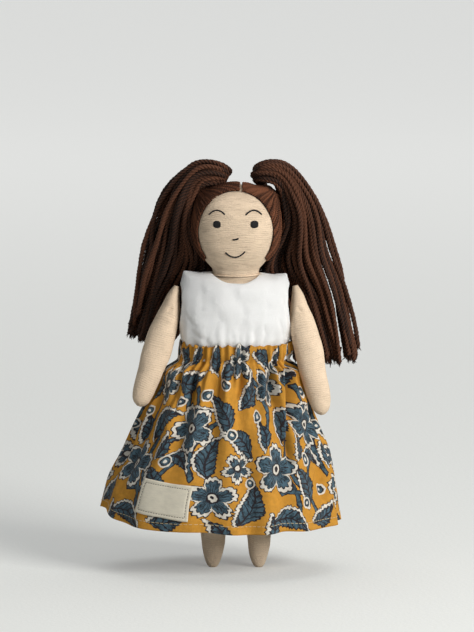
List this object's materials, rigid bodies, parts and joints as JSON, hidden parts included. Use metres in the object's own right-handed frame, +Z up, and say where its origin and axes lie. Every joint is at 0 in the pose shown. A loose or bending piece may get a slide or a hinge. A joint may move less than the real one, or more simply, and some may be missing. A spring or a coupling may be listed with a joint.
{
  "type": "cloth doll",
  "caption": "Standing cloth doll with a stuffed linen body, yarn hair in two bunches, a sleeveless white top and a printed skirt over hinged arms and legs.",
  "frame": {"origin": "middle of the footprint of the whole doll, on the floor under its soles", "axes": "+Z up, the doll faces -Y, +X is the doll's own left"},
  "size_m": [0.1894, 0.1232, 0.3015],
  "materials": {
    "linen": "plain weave, matt",
    "stuffing": "loose fibre",
    "hair_yarn": "twisted wool yarn, matt",
    "white_linen": "fine plain weave, matt",
    "printed_cotton": "printed with flowers, matt",
    "black_thread": "stitched thread",
    "pale_thread": "stitched thread",
    "label_tape": "woven tape, matt",
    "elastic": "knitted band",
    "shell_button": "satin"
  },
  "bodies": {
    "torso": {"body": "linen", "body_stuffing": "stuffing", "head": "linen", "head_stuffing": "stuffing", "neck_seam_thread": "linen", "left_eye": "black_thread", "right_eye": "black_thread", "left_brow": "black_thread", "right_brow": "black_thread", "nose_stitch": "black_thread", "mouth_stitch": "black_thread", "left_hip_stitches": "pale_thread", "right_hip_stitches": "pale_thread", "left_arm_thread": "linen", "right_arm_thread": "linen", "left_hair_cap": "hair_yarn", "right_hair_cap": "hair_yarn", "left_hair_tie": "hair_yarn", "right_hair_tie": "hair_yarn", "top": "white_linen", "back_placket": "white_linen", "back_button_1": "shell_button", "back_button_2": "shell_button", "back_button_3": "shell_button", "skirt": "printed_cotton", "waist_elastic": "elastic", "hem_thread": "pale_thread", "label": "label_tape", "label_stitching": "black_thread"},
    "left_arm": {"left_arm": "linen", "left_arm_stuffing": "stuffing"},
    "left_leg": {"left_leg": "linen", "left_leg_stuffing": "stuffing"},
    "left_bunch": {"left_hair_bunch": "hair_yarn"},
    "right_arm": {"right_arm": "linen", "right_arm_stuffing": "stuffing"},
    "right_leg": {"right_leg": "linen", "right_leg_stuffing": "stuffing"},
    "right_bunch": {"right_hair_bunch": "hair_yarn"}
  },
  "joints": [
    {"name": "left_shoulder", "type": "hinge", "parent": "torso", "child": "left_arm", "pos_m": [0.051, 0.0019, 0.1925], "axis": [-1, 0, 0], "range_deg": [-25, 135], "deforming": ["skirt", "hem_thread", "top", "left_hair_bunch"]},
    {"name": "right_shoulder", "type": "hinge", "parent": "torso", "child": "right_arm", "pos_m": [-0.044, 0.0019, 0.1925], "axis": [-1, 0, 0], "range_deg": [-25, 135], "deforming": ["skirt", "hem_thread", "top", "right_hair_bunch"]},
    {"name": "left_hip", "type": "hinge", "parent": "torso", "child": "left_leg", "pos_m": [0.0212, 0.0034, 0.0985], "axis": [-1, 0, 0], "range_deg": [-35, 90], "deforming": ["skirt", "hem_thread"]},
    {"name": "right_hip", "type": "hinge", "parent": "torso", "child": "right_leg", "pos_m": [-0.0128, 0.0034, 0.0985], "axis": [-1, 0, 0], "range_deg": [-35, 90], "deforming": ["skirt", "hem_thread"]},
    {"name": "left_bunch_swing", "type": "hinge", "parent": "torso", "child": "left_bunch", "pos_m": [0.0304, 0.0104, 0.2787], "axis": [0, -1, 0], "range_deg": [0, 75], "deforming": ["left_hair_bunch"]},
    {"name": "right_bunch_swing", "type": "hinge", "parent": "torso", "child": "right_bunch", "pos_m": [-0.022, 0.0104, 0.2787], "axis": [0, 1, 0], "range_deg": [0, 75], "deforming": ["right_hair_bunch"]}
  ]
}
